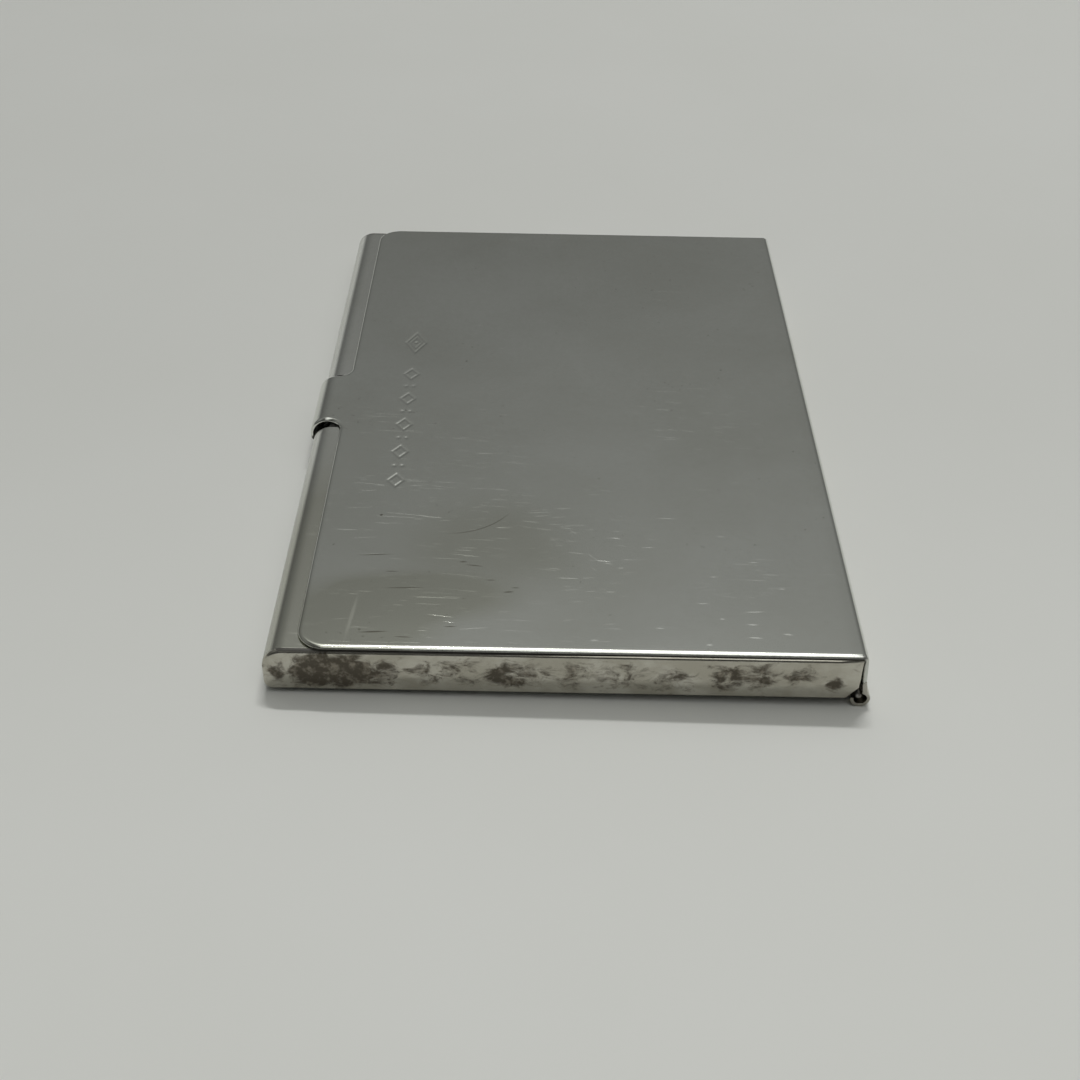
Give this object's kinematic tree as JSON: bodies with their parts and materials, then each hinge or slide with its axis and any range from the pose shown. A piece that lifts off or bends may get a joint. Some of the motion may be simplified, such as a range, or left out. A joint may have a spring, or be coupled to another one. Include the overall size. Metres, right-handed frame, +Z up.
{
  "type": "business card case",
  "caption": "Slim hinged sheet-silver card case with a flat lid, rounded front edge, thumb tab and knuckle hinge along the rear edge.",
  "frame": {"origin": "middle of the bottom of the closed case's box, on the lowest line of the hinge barrel", "axes": "+X along the case, -Y towards the opening edge with the thumb tab, +Y towards the hinge, +Z up through the lid"},
  "size_m": [0.093, 0.0614, 0.0066],
  "materials": {
    "silver": "polished sterling silver with fine scratches and smudges",
    "silver_dulled": "sterling silver, dulled, with brown tarnish patches",
    "pin_metal": "dull grey wire"
  },
  "bodies": {
    "base": {"base_shell": "silver", "end_cap_left": "silver_dulled", "end_cap_right": "silver_dulled", "base_knuckle_1": "silver", "base_knuckle_2": "silver", "hinge_pin": "pin_metal"},
    "lid": {"lid_cover": "silver", "thumb_tab": "silver", "lid_knuckle_1": "silver", "lid_knuckle_2": "silver", "lid_knuckle_3": "silver"}
  },
  "joints": [
    {"name": "lid_hinge", "type": "hinge", "parent": "base", "child": "lid", "pos_m": [0, 0.02969, 0.001], "axis": [-1, 0, 0], "range_deg": [0, 95]}
  ]
}
